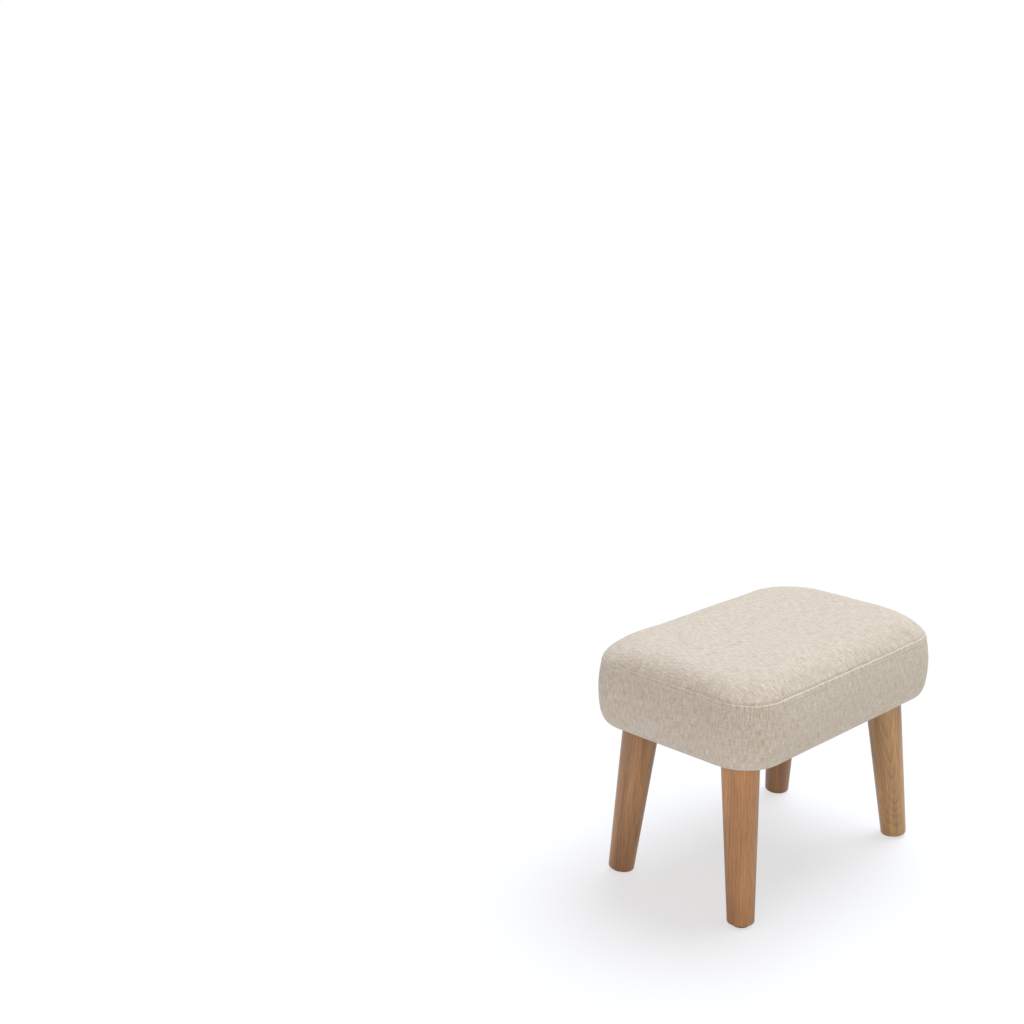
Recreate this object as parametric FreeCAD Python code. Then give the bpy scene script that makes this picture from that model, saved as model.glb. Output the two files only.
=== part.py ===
import FreeCAD, Part
import math
import os

# Footstool: an upholstered seat on four splayed wooden legs that screw into angled steel plates.
# The origin is on the floor under the middle of the seat. +X runs along the length, +Y towards
# the back and +Z up. All sizes are in millimetres.

# Seat outline seen from above, at its widest level
seat_length = 450.0
seat_depth = 298.0
long_side_bow = 1.0
short_side_bow = 0.8
corner_radius = 64.0

# Seat heights above the floor
underside_height = 226.0
seam_height = 316.0
crown_height = 28.4

# Side form: the lower edge rolls under, and the band draws in again towards the seam
lower_roll_inset = 13.5
lower_roll_height = 48.0
seam_inset = 6.4
side_corner_easing = 0.9

# Crown form: the fullness is the power that holds the top flat and turns the shoulder down. The
# corners grow rounder over the shoulder, up to a share of half the seat's depth at that level.
crown_fullness = 9.2
crown_corner_growth = 0.8
largest_corner_share = 0.9
crown_steps = (0.0, 0.03, 0.07, 0.13, 0.21, 0.33, 0.5)

# Layers of the upholstery
cover_thickness = 1.2
wadding_thickness = 5.0
felled_seam_width = 5.0
felled_seam_rise = 0.8
cover_turn_under = 30.0
dust_cover_thickness = 0.6
dust_cover_margin = 4.0

# Base board
board_thickness = 15.0
board_edge_gap = 0.4
board_edge_chamfer = 1.5

# Staples
staple_crown = 10.0
staple_leg = 9.0
staple_wire_width = 1.2
staple_wire_thickness = 0.6
cover_staple_margin = 10.5
cover_staple_count = 32
dust_staple_margin = 7.0
dust_staple_count = 24

# Legs: how far inside the seat's widest outline each axis meets the underside, how far it splays
# out on its way down to the floor, and the diameters at both ends
leg_end_margin = 60.0
leg_side_margin = 64.5
leg_splay_length = 17.5
leg_splay_depth = 21.5
leg_top_diameter = 51.0
leg_foot_diameter = 36.4
leg_top_chamfer = 1.0
leg_foot_rounding = 2.5

# Leg plates: a square pressed plate with a raised boss whose face is square to the leg
plate_size = 50.0
plate_corner_radius = 8.0
plate_thickness = 2.5
leg_to_plate_gap = 0.9
boss_face_radius = 13.0
boss_base_radius = 17.0
boss_wall = 2.0
nut_radius = 6.5
nut_height = 5.0

# Hanger bolts
bolt_diameter = 8.0
bolt_machine_length = 20.0
bolt_wood_length = 35.0
bolt_point_length = 8.0
bolt_end_chamfer = 0.8
thread_clearance = 0.05
board_hole_diameter = 11.0

# Plate screws
screw_spacing = 34.0
screw_diameter = 4.0
screw_head_diameter = 8.0
screw_head_height = 2.0
screw_length = 15.0
screw_point_length = 4.0
screw_hole_clearance = 0.15

# Felt pads
pad_diameter = 24.0
pad_thickness = 2.5

# Places and levels that follow from the sizes above
leg_top_x = seat_length / 2 - leg_end_margin
leg_top_y = seat_depth / 2 - leg_side_margin
foot_x = leg_top_x + leg_splay_length
foot_y = leg_top_y + leg_splay_depth
cover_bottom = underside_height + dust_cover_thickness
board_bottom = cover_bottom + cover_thickness
board_top = board_bottom + board_thickness

# Extra length of a cutting shape beyond what it cuts
overrun = 2.0

CORNERS = {
    "front_left": (-1, -1),
    "front_right": (1, -1),
    "back_left": (-1, 1),
    "back_right": (1, 1),
}


def bow_radius(chord, bow):
    """Radius of an arc that rises by the bow over the chord."""
    return (chord * chord / 4 + bow * bow) / (2 * bow)


def seat_outline(inset, radius, height):
    """Level outline of the seat: four bowed sides and four corner arcs, all tangent.

    Each side is an arc about a point far across the seat. A corner's centre lies where the two
    side circles, made smaller by the corner radius, cross.
    """
    half_length = seat_length / 2 - inset
    half_depth = seat_depth / 2 - inset
    long_radius = bow_radius(seat_length, long_side_bow) - inset
    short_radius = bow_radius(seat_depth, short_side_bow) - inset
    long_centre = FreeCAD.Vector(0, half_depth - long_radius, 0)
    short_centre = FreeCAD.Vector(half_length - short_radius, 0, 0)
    between = short_centre - long_centre
    apart = between.Length
    along = between / apart
    across = FreeCAD.Vector(along.y, -along.x, 0)
    reach = ((long_radius - radius) ** 2 - (short_radius - radius) ** 2 + apart ** 2) / (2 * apart)
    rise = math.sqrt((long_radius - radius) ** 2 - reach ** 2)
    corner = long_centre + along * reach + across * rise
    to_long = (corner - long_centre).normalize()
    to_short = (corner - short_centre).normalize()
    long_end = corner + to_long * radius
    short_end = corner + to_short * radius
    corner_middle = corner + (to_long + to_short).normalize() * radius

    def at(point, x_sign, y_sign):
        return FreeCAD.Vector(x_sign * point.x, y_sign * point.y, height)

    long_middle = FreeCAD.Vector(0, half_depth, 0)
    short_middle = FreeCAD.Vector(half_length, 0, 0)
    edges = [
        Part.Arc(at(short_end, 1, -1), at(short_middle, 1, 1), at(short_end, 1, 1)),
        Part.Arc(at(short_end, 1, 1), at(corner_middle, 1, 1), at(long_end, 1, 1)),
        Part.Arc(at(long_end, 1, 1), at(long_middle, 1, 1), at(long_end, -1, 1)),
        Part.Arc(at(long_end, -1, 1), at(corner_middle, -1, 1), at(short_end, -1, 1)),
        Part.Arc(at(short_end, -1, 1), at(short_middle, -1, 1), at(short_end, -1, -1)),
        Part.Arc(at(short_end, -1, -1), at(corner_middle, -1, -1), at(long_end, -1, -1)),
        Part.Arc(at(long_end, -1, -1), at(long_middle, 1, -1), at(long_end, 1, -1)),
        Part.Arc(at(long_end, 1, -1), at(corner_middle, 1, -1), at(short_end, 1, -1)),
    ]
    return Part.Wire([edge.toShape() for edge in edges])


def side_outline(inset, layer, height):
    """Outline on the side form, at a depth of one or more upholstery layers."""
    return seat_outline(inset + layer, corner_radius - side_corner_easing * inset - layer, height)


def underside_outline(margin, height):
    """Outline on the flat underside, a margin inside the edge where the lower roll ends."""
    return side_outline(lower_roll_inset, margin, height)


def outline_prism(outline, height):
    """Upright solid on a level outline."""
    return Part.Face(outline).extrude(FreeCAD.Vector(0, 0, height))


def draw_in(height):
    """Inset of the band between the top of the lower roll and the seam."""
    roll_top = cover_bottom + lower_roll_height
    share = (height - roll_top) / (seam_height - roll_top)
    return seam_inset * share * share


def side_form(layer, top):
    """Side of the seat up to a level: a quarter ellipse rolls out, then the side draws in."""
    bottom = cover_bottom + layer
    roll_top = cover_bottom + lower_roll_height
    outlines = []
    for degrees in (0, 20, 40, 65, 90):
        angle = math.radians(degrees)
        inset = lower_roll_inset * (1 - math.sin(angle))
        height = bottom + (roll_top - bottom) * (1 - math.cos(angle))
        outlines.append(side_outline(inset, layer, height))
    for share in (0.5, 1.0):
        height = roll_top + (top - roll_top) * share
        outlines.append(side_outline(draw_in(height), layer, height))
    return Part.makeLoft(outlines, True, False)


def crown_form(layer):
    """Crown above the seam: it rises steeply, turns over the shoulder and runs out nearly flat."""
    reach = seat_depth / 2 - seam_inset - layer
    seam_corner = corner_radius - side_corner_easing * seam_inset - layer
    outlines = []
    for step in crown_steps:
        inset = reach * step
        grown = seam_corner + crown_corner_growth * inset * (1 - step) ** 3
        radius = min(grown, largest_corner_share * (reach - inset))
        height = seam_height + (crown_height - layer) * (1 - (1 - step) ** crown_fullness)
        outlines.append(seat_outline(seam_inset + layer + inset, radius, height))
    return Part.makeLoft(outlines, True, False)


def seat_form(layer):
    """Whole closed form of the seat at a depth of one or more upholstery layers."""
    return side_form(layer, seam_height).fuse(crown_form(layer))


def cover_top_panel():
    """Top panel of the cover, from the seam over the crown."""
    return crown_form(0).cut(crown_form(cover_thickness))


def cover_side_band(holes):
    """Side band with the raised felled seam along its top, rolled under and turned over the board."""
    strip_bottom = seam_height - felled_seam_width
    lower_side = side_form(0, strip_bottom)
    strip = Part.makeLoft([
        side_outline(draw_in(strip_bottom), -felled_seam_rise, strip_bottom),
        side_outline(seam_inset, -felled_seam_rise, seam_height),
    ], True, True)
    inside = side_form(cover_thickness, seam_height)
    opening = outline_prism(
        underside_outline(cover_turn_under, cover_bottom - overrun),
        cover_thickness + 2 * overrun,
    )
    return lower_side.fuse(strip).cut(inside).cut(opening).cut(holes)


def board_blank():
    """Base board with chamfered edges, before any hole is made."""
    outline = underside_outline(cover_thickness + board_edge_gap, board_bottom)
    blank = outline_prism(outline, board_thickness)
    rims = [
        edge for edge in blank.Edges
        if edge.BoundBox.ZLength < board_edge_chamfer
    ]
    return blank.makeChamfer(board_edge_chamfer, rims)


def seat_foam():
    """Foam block on the board, crowned under the wadding."""
    form = seat_form(cover_thickness + wadding_thickness)
    below = Part.makeBox(
        seat_length, seat_depth, board_top,
        FreeCAD.Vector(-seat_length / 2, -seat_depth / 2, 0),
    )
    return form.cut(below)


def wadding_wrap(foam, blank):
    """Wadding between the cover and the foam, down over the edge of the board."""
    return seat_form(cover_thickness).cut(foam).cut(blank)


def dust_cover(holes):
    """Non-woven sheet that closes the underside."""
    outline = underside_outline(dust_cover_margin, underside_height)
    return outline_prism(outline, dust_cover_thickness).cut(holes)


def staple(height):
    """One staple with its crown level at the given height, its legs up and its middle on the Z axis."""
    half = staple_crown / 2
    wire = staple_wire_thickness
    top = height + staple_leg
    points = [
        (-half, height), (half, height), (half, top), (half - wire, top),
        (half - wire, height + wire), (wire - half, height + wire), (wire - half, top), (-half, top),
        (-half, height),
    ]
    side = [FreeCAD.Vector(x, -staple_wire_width / 2, z) for x, z in points]
    return Part.Face(Part.makePolygon(side)).extrude(FreeCAD.Vector(0, staple_wire_width, 0))


def staple_ring(margin, count, height):
    """Staples spaced evenly along an outline, each in line with it."""
    outline = underside_outline(margin, 0)
    points = outline.discretize(Number=2 * count + 1)
    staples = []
    for k in range(count):
        before = points[2 * k]
        middle = points[2 * k + 1]
        after = points[2 * k + 2]
        direction = after - before
        piece = staple(height)
        piece.rotate(FreeCAD.Vector(), FreeCAD.Vector(0, 0, 1), math.degrees(math.atan2(direction.y, direction.x)))
        piece.translate(FreeCAD.Vector(middle.x, middle.y, 0))
        staples.append(piece)
    return Part.makeCompound(staples)


class LegAxis:
    """Line of one leg, measured downwards from the seat's underside."""

    def __init__(self, x_sign, y_sign):
        self.top = FreeCAD.Vector(x_sign * leg_top_x, y_sign * leg_top_y, underside_height)
        foot = FreeCAD.Vector(x_sign * foot_x, y_sign * foot_y, 0)
        self.length = (foot - self.top).Length
        self.down = (foot - self.top).normalize()
        self.bearing = math.degrees(math.atan2(self.down.y, self.down.x))
        self.tilt = math.acos(-self.down.z)

    def at(self, distance):
        return self.top + self.down * distance

    def leg_top(self):
        """Distance to the leg's top face, whose high side just clears the plate."""
        drop = plate_thickness + leg_to_plate_gap + leg_top_diameter / 2 * math.sin(self.tilt)
        return drop / math.cos(self.tilt)

    def leg_bottom(self):
        return self.length - pad_thickness

    def turn(self, outline):
        """Turned piece: a closed outline of (radius, distance) points or edges about the axis."""
        piece = Part.Face(outline).revolve(FreeCAD.Vector(), FreeCAD.Vector(0, 0, 1), 360)
        turned = FreeCAD.Rotation(FreeCAD.Vector(0, 0, 1), self.down)
        piece.Placement = FreeCAD.Placement(self.top, turned)
        return piece


def profile(points):
    """Closed outline through (radius, distance) points, in the plane of the axis."""
    corners = [FreeCAD.Vector(radius, 0, distance) for radius, distance in points]
    return Part.makePolygon(corners + corners[:1])


def leg(axis):
    """Turned tapered leg with a bolt hole in its top, a chamfered top edge and a rounded foot."""
    top = axis.leg_top()
    bottom = axis.leg_bottom()
    top_radius = leg_top_diameter / 2
    foot_radius = leg_foot_diameter / 2
    hole_radius = bolt_diameter / 2 + thread_clearance
    hole_bottom = top + bolt_wood_length + overrun
    corners = [
        (0, hole_bottom), (hole_radius, hole_bottom), (hole_radius, top),
        (top_radius - leg_top_chamfer, top), (top_radius, top + leg_top_chamfer),
        (foot_radius, bottom - leg_foot_rounding),
    ]
    vectors = [FreeCAD.Vector(radius, 0, distance) for radius, distance in corners]
    inner_foot = FreeCAD.Vector(foot_radius - leg_foot_rounding, 0, bottom)
    middle = FreeCAD.Vector(
        foot_radius - leg_foot_rounding * (1 - math.sqrt(0.5)), 0,
        bottom - leg_foot_rounding * (1 - math.sqrt(0.5)),
    )
    centre_foot = FreeCAD.Vector(0, 0, bottom)
    edges = [Part.makeLine(a, b) for a, b in zip(vectors, vectors[1:])]
    edges.append(Part.Arc(vectors[-1], middle, inner_foot).toShape())
    edges.append(Part.makeLine(inner_foot, centre_foot))
    edges.append(Part.makeLine(centre_foot, vectors[0]))
    return axis.turn(Part.Wire(edges))


def hanger_bolt(axis):
    """Double-ended bolt: a machine thread up through the plate and a wood thread down in the leg."""
    radius = bolt_diameter / 2
    joint = axis.leg_top()
    upper = joint - bolt_machine_length
    lower = joint + bolt_wood_length
    return axis.turn(profile([
        (0, upper), (radius - bolt_end_chamfer, upper), (radius, upper + bolt_end_chamfer),
        (radius, lower - bolt_point_length), (0, lower),
    ]))


def bolt_clearance(axis):
    """Round hole along a leg's axis, from below the dust cover up through the board."""
    start = axis.at(overrun)
    length = (board_top - underside_height) / math.cos(axis.tilt) + 2 * overrun
    return Part.makeCylinder(board_hole_diameter / 2, length, start, -axis.down)


def felt_pad(axis):
    """Round felt pad glued square to the foot and pressed level where it stands on the floor."""
    radius = pad_diameter / 2
    slant = radius * math.tan(axis.tilt) + overrun
    blank = Part.makeCylinder(radius, pad_thickness + slant, axis.at(axis.leg_bottom()), axis.down)
    reach = 2 * pad_diameter
    floor = Part.makeBox(
        reach, reach, reach,
        FreeCAD.Vector(axis.at(axis.length).x - reach / 2, axis.at(axis.length).y - reach / 2, -reach),
    )
    return blank.cut(floor)


def screw_places(axis):
    """Centres of the four screws of one plate on the underside, in line with the plate's sides."""
    half = screw_spacing / 2
    places = []
    for x, y in ((half, half), (-half, half), (-half, -half), (half, -half)):
        offset = FreeCAD.Vector(x, y, 0)
        turned = FreeCAD.Rotation(FreeCAD.Vector(0, 0, 1), axis.bearing).multVec(offset)
        places.append(axis.top + turned)
    return places


def plate_screws(axis):
    """Four countersunk wood screws, heads flush with the lower face of the plate."""
    head = screw_head_diameter / 2
    shank = screw_diameter / 2
    outline = profile([
        (0, 0), (head, 0), (shank, screw_head_height),
        (shank, screw_length - screw_point_length), (0, screw_length),
    ])
    screws = []
    for place in screw_places(axis):
        screw = Part.Face(outline).revolve(FreeCAD.Vector(), FreeCAD.Vector(0, 0, 1), 360)
        screw.translate(place - FreeCAD.Vector(0, 0, plate_thickness))
        screws.append(screw)
    return Part.makeCompound(screws)


def screw_hole(place):
    """Countersunk hole in the plate for one screw."""
    head = screw_head_diameter / 2 + screw_hole_clearance
    shank = screw_diameter / 2 + screw_hole_clearance
    outline = profile([
        (0, -overrun), (head, -overrun), (head, 0), (shank, screw_head_height),
        (shank, plate_thickness + overrun), (0, plate_thickness + overrun),
    ])
    hole = Part.Face(outline).revolve(FreeCAD.Vector(), FreeCAD.Vector(0, 0, 1), 360)
    hole.translate(place - FreeCAD.Vector(0, 0, plate_thickness))
    return hole


def leg_plate(axis):
    """Pressed plate with a hollow boss tilted to the leg and a threaded nut in the boss."""
    half = plate_size / 2
    base = Part.makeBox(plate_size, plate_size, plate_thickness, FreeCAD.Vector(-half, -half, -plate_thickness))
    uprights = [edge for edge in base.Edges if edge.BoundBox.ZLength > plate_thickness / 2]
    base = base.makeFillet(plate_corner_radius, uprights)
    base.rotate(FreeCAD.Vector(), FreeCAD.Vector(0, 0, 1), axis.bearing)
    base.translate(axis.top)

    face = axis.leg_top()
    flare = (boss_base_radius - boss_face_radius) / face
    height = face + boss_base_radius * math.sin(axis.tilt) + overrun
    outer = Part.makeCone(
        boss_face_radius, boss_face_radius + flare * height, height, axis.at(face), -axis.down)
    inner_start = face - boss_wall
    inner = Part.makeCone(
        boss_face_radius - boss_wall, boss_face_radius - boss_wall + flare * height, height,
        axis.at(inner_start), -axis.down)
    nut = Part.makeCylinder(nut_radius, nut_height, axis.at(face), -axis.down)
    bore = Part.makeCylinder(
        bolt_diameter / 2 + thread_clearance, height + overrun, axis.at(face + overrun), -axis.down)
    above = Part.makeBox(
        plate_size, plate_size, plate_size,
        axis.top - FreeCAD.Vector(half, half, 0),
    )
    plate = base.fuse(outer.cut(above)).cut(inner).fuse(nut).cut(bore)
    for place in screw_places(axis):
        plate = plate.cut(screw_hole(place))
    return plate.removeSplitter()


def solids_only(shape):
    """The shape as one solid, or as a group of its separate solids."""
    if len(shape.Solids) == 1:
        return shape.Solids[0]
    return Part.makeCompound(shape.Solids)


def save(name, shape):
    """Write one piece, and print its number of solids and its volume."""
    piece = solids_only(shape)
    piece.exportStep("parts/" + name + ".step")
    print(name, len(piece.Solids), "solid(s)", round(piece.Volume / 1000, 2), "cm3", piece.isValid())


def build():
    os.makedirs("parts", exist_ok=True)
    axes = {corner: LegAxis(*signs) for corner, signs in CORNERS.items()}

    screws = []
    bolt_holes = []
    for corner, axis in axes.items():
        screw_set = plate_screws(axis)
        screws.append(screw_set)
        bolt_holes.append(bolt_clearance(axis))
        save("leg_" + corner, leg(axis))
        save("hanger_bolt_" + corner, hanger_bolt(axis))
        save("felt_pad_" + corner, felt_pad(axis))
        save("leg_plate_" + corner, leg_plate(axis))
        save("plate_screws_" + corner, screw_set)

    cover_staples = staple_ring(cover_staple_margin, cover_staple_count, cover_bottom)
    dust_staples = staple_ring(
        dust_staple_margin, dust_staple_count, underside_height - staple_wire_thickness)
    save("cover_staples", cover_staples)
    save("dust_cover_staples", dust_staples)

    fixings = Part.makeCompound(screws + bolt_holes + [cover_staples, dust_staples])
    blank = board_blank()
    foam = seat_foam()
    save("base_board", blank.cut(fixings))
    save("seat_foam", foam)
    save("wadding_wrap", wadding_wrap(foam, blank))
    save("cover_side_band", cover_side_band(fixings))
    save("cover_top_panel", cover_top_panel())
    save("dust_cover", dust_cover(fixings))


build()
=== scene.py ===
import math

import bpy
import numpy as np
from mathutils import Matrix, Vector


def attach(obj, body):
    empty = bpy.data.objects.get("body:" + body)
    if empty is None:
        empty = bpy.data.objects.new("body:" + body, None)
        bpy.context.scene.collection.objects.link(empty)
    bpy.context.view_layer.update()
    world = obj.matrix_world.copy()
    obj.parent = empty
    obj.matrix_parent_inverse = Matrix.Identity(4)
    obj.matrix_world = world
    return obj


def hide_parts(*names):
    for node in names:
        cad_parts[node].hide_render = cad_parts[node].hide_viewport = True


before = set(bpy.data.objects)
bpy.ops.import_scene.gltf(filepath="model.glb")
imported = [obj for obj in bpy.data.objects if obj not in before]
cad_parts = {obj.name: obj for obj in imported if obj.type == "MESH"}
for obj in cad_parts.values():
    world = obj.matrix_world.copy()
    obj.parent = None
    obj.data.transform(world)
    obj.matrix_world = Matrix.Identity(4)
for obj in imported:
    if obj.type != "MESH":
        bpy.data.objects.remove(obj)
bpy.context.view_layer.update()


# Camera
# It stands where the photograph was taken from: in front of the stool and to its left, a metre up. The
# stool lies low on the right of the picture.
camera_place = Vector((-1.57100, -1.14898, 0.99999))
camera_bearing = math.radians(-43.3389)
camera_pitch = math.radians(-14.3587)
camera_roll = math.radians(-0.6572)

looking = Vector((
    -math.sin(camera_bearing) * math.cos(camera_pitch),
    math.cos(camera_bearing) * math.cos(camera_pitch),
    math.sin(camera_pitch),
))
level_right = looking.cross(Vector((0, 0, 1))).normalized()
level_up = level_right.cross(looking)
right = level_right * math.cos(camera_roll) + level_up * math.sin(camera_roll)
up = level_up * math.cos(camera_roll) - level_right * math.sin(camera_roll)

camera_data = bpy.data.cameras.new("camera")
camera_data.sensor_width = 36
camera_data.lens = 50.99
camera_data.clip_end = 50
camera = bpy.data.objects.new("camera", camera_data)
camera.matrix_world = Matrix.Translation(camera_place) @ Matrix((right, up, -looking)).transposed().to_4x4()
bpy.context.collection.objects.link(camera)
bpy.context.scene.camera = camera


# Floor and light
# A plain white studio floor under a wide soft light. The floor shows white to the camera by its own
# colour, and keeps the soft shadow that the stool throws on it.
def set_inputs(tree, node, inputs):
    """Join each named or numbered input of a node to a socket, or give it a value."""
    for name, value in dict(inputs).items():
        if isinstance(value, bpy.types.NodeSocket):
            tree.links.new(value, node.inputs[name])
        else:
            node.inputs[name].default_value = value


def new_material(name):
    """Empty node material with a Principled shader joined to its output."""
    material = bpy.data.materials.new(name)
    material.use_nodes = True
    tree = material.node_tree
    tree.nodes.clear()
    output = tree.nodes.new("ShaderNodeOutputMaterial")
    shader = tree.nodes.new("ShaderNodeBsdfPrincipled")
    tree.links.new(shader.outputs["BSDF"], output.inputs["Surface"])
    return material, tree, shader


def add_node(tree, kind, inputs=(), **settings):
    """Node of a kind with its settings and its inputs."""
    made = tree.nodes.new(kind)
    for name, value in settings.items():
        setattr(made, name, value)
    set_inputs(tree, made, inputs)
    return made


def reckon(tree, operation, *values):
    """Output of a maths node on sockets or numbers."""
    return add_node(tree, "ShaderNodeMath", enumerate(values), operation=operation).outputs[0]


def new_mesh(name, points, faces):
    """Smooth mesh of points and faces."""
    mesh = bpy.data.meshes.new(name)
    mesh.from_pydata(np.reshape(points, (-1, 3)).tolist(), [], faces)
    mesh.shade_smooth()
    return mesh


def new_object(name, mesh, material):
    """Object at the origin that carries the mesh and one material."""
    piece = bpy.data.objects.new(name, mesh)
    mesh.materials.append(material)
    bpy.context.collection.objects.link(piece)
    return piece


def seen_directly(tree):
    """One for a ray from the camera, a reflection or clear material, and nought for other light."""
    path = add_node(tree, "ShaderNodeLightPath")
    mirrored = reckon(tree, "MAXIMUM", path.outputs["Is Camera Ray"], path.outputs["Is Glossy Ray"])
    return reckon(tree, "MAXIMUM", mirrored, path.outputs["Is Transmission Ray"])


floor_reach = 14.0
floor_tone = 0.80
floor_tone_seen = 0.36
floor_own_light = 0.635
floor_extra_blue = 0.06

floor_material, tree, shader = new_material("studio_floor")
seen = seen_directly(tree)
tone = reckon(tree, "MULTIPLY_ADD", seen, floor_tone_seen - floor_tone, floor_tone)
blue = reckon(tree, "MULTIPLY", tone, reckon(tree, "MULTIPLY_ADD", seen, floor_extra_blue, 1.0))
grey = add_node(tree, "ShaderNodeCombineColor", {0: tone, 1: tone, 2: blue})
set_inputs(tree, shader, {
    "Base Color": grey.outputs[0], "Roughness": 1.0, "Specular IOR Level": 0.0,
    "Emission Color": (1, 1, 1, 1), "Emission Strength": reckon(tree, "MULTIPLY", seen, floor_own_light)})
floor_corners = [(x * floor_reach, y * floor_reach, 0) for x, y in ((-1, -1), (1, -1), (1, 1), (-1, 1))]
floor_mesh = new_mesh("studio_floor", floor_corners, [(0, 1, 2, 3)])
new_object("studio_floor", floor_mesh, floor_material)

world = bpy.data.worlds.new("studio")
world.use_nodes = True
bpy.context.scene.world = world
tree = world.node_tree
tree.nodes.clear()
output = tree.nodes.new("ShaderNodeOutputWorld")
room_light = add_node(tree, "ShaderNodeBackground", {"Color": (1, 0.955, 0.910, 1), "Strength": 0.36})
seen_white = add_node(tree, "ShaderNodeBackground", {"Color": (1, 1, 1, 1), "Strength": 1.0})
either = add_node(tree, "ShaderNodeMixShader", {
    0: seen_directly(tree), 1: room_light.outputs[0], 2: seen_white.outputs[0]})
tree.links.new(either.outputs[0], output.inputs["Surface"])

# Name, the direction that the light comes from, how wide it looks in degrees, strength and colour
for name, source, width, strength, colour in (
    ("overhead_light", (0.55, 0.03, 1.25), 42, 2.44, (0.925, 1.01, 1.125)),
    ("left_light", (-1.00, -0.50, 0.28), 50, 0.50, (1.0, 0.935, 0.89)),
    ("right_light", (0.50, -1.00, 0.30), 50, 0.12, (1.0, 0.930, 0.20)),
):
    lamp = bpy.data.lights.new(name, "SUN")
    lamp.angle = math.radians(width)
    lamp.energy = strength
    lamp.color = colour
    light = bpy.data.objects.new(name, lamp)
    light.rotation_euler = (-Vector(source)).to_track_quat("-Z", "Y").to_euler()
    bpy.context.collection.objects.link(light)

bpy.context.scene.view_settings.view_transform = "Standard"


# Seat cushion
# A foam block on a board, wrapped in wadding and covered in a heathered upholstery cloth: a crowned top
# panel and a band sewn to it, pulled down over the board and stapled under it. It is one closed padded
# form with a hollow for the board. The cloth swells under pressure with its seam and underside held.
seat_length = 0.450
seat_depth = 0.298
long_side_bow = 0.001
short_side_bow = 0.0008
corner_radius = 0.064
side_corner_easing = 0.9
cloth_bottom = 0.2266
board_bottom = 0.2278
board_top = 0.2428
seam_height = 0.316
seam_inset = 0.0064
roll_inset = 0.0135
roll_top = cloth_bottom + 0.048
crown_height = 0.0284
crown_fullness = 9.2
crown_corner_growth = 0.8
largest_corner_share = 0.9
turned_under = 0.030
board_clearance = 0.0018
half_long_columns = 74
half_short_columns = 48
columns = 4 * (half_long_columns + half_short_columns)
crown_rows = 24
crown_rows_closing = 1.6
band_rows = 16
roll_rows = 18
under_rows = 4
wall_rows = 2


def bow_radius(chord, bow):
    """Radius of an arc that rises by the bow over the chord."""
    return (chord * chord / 4 + bow * bow) / (2 * bow)


def half_sides(side_radius, side_centre, side_angle, radius, half_turn, count):
    """Points from the middle of a side to the middle of a corner, evenly spaced: first along the side's
    arc, then round the corner. Returned as the angle turned past the side's end, the side point's two
    coordinates, and a mask of the points on the side."""
    run = np.linspace(0, 1, count + 1) * (side_radius * side_angle + half_turn)
    over = run - side_radius * side_angle
    along = side_radius * np.sin(run / side_radius)
    across = side_centre + side_radius * np.cos(run / side_radius)
    return over / radius, along, across, over < 0


def seat_outlines(inset, radius):
    """Level outlines of the seat, one row for each inset and corner radius, as points on a plane.

    A side is an arc of its bow radius less the inset. A corner's centre is where the two side circles,
    made smaller by the corner radius, cross. A quarter is divided evenly from the middle of the back to
    the middle of the corner, and evenly from there to the middle of the short side. It is mirrored into a
    loop that starts at the middle of the back and runs anticlockwise, seen from above.
    """
    inset, radius = np.atleast_1d(inset)[:, None], np.atleast_1d(radius)[:, None]
    long_radius = bow_radius(seat_length, long_side_bow) - inset
    short_radius = bow_radius(seat_depth, short_side_bow) - inset
    long_centre = seat_depth / 2 - inset - long_radius
    short_centre = seat_length / 2 - inset - short_radius
    apart = np.hypot(short_centre, long_centre)
    reach = ((long_radius - radius) ** 2 - (short_radius - radius) ** 2 + apart ** 2) / (2 * apart)
    rise = np.sqrt((long_radius - radius) ** 2 - reach ** 2)
    corner_x = (short_centre * reach - long_centre * rise) / apart
    corner_y = long_centre - (long_centre * reach + short_centre * rise) / apart
    long_angle = np.arctan2(corner_x, corner_y - long_centre)
    short_angle = np.arctan2(corner_y, corner_x - short_centre)
    half_turn = radius * (np.pi / 2 - long_angle - short_angle) / 2

    over, side_x, side_y, on_side = half_sides(
        long_radius, long_centre, long_angle, radius, half_turn, half_long_columns)
    x = np.where(on_side, side_x, corner_x + radius * np.sin(long_angle + over))
    y = np.where(on_side, side_y, corner_y + radius * np.cos(long_angle + over))
    over, side_y, side_x, on_side = half_sides(
        short_radius, short_centre, short_angle, radius, half_turn, half_short_columns)
    short_x = np.where(on_side, side_x, corner_x + radius * np.cos(short_angle + over))
    short_y = np.where(on_side, side_y, corner_y + radius * np.sin(short_angle + over))
    x = np.concatenate([x, short_x[:, -2::-1]], axis=1)
    y = np.concatenate([y, short_y[:, -2::-1]], axis=1)
    back = slice(None, 0, -1)
    return np.stack([
        np.concatenate([-x[:, :-1], -x[:, back], x[:, :-1], x[:, back]], axis=1),
        np.concatenate([y[:, :-1], -y[:, back], -y[:, :-1], y[:, back]], axis=1),
    ], axis=-1)


def evenly(count, inset, radius, height, closing=1.0):
    """A stretch of the section in a number of lengths: equal, or closing up towards its end where the
    power is above 1."""
    run = np.concatenate([[0], np.cumsum(np.hypot(np.diff(inset), np.diff(height)))])
    stops = run[-1] * (1 - np.linspace(1, 0, count + 1) ** closing)
    return [np.interp(stops, run, values) for values in (inset, radius, height)]


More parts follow.
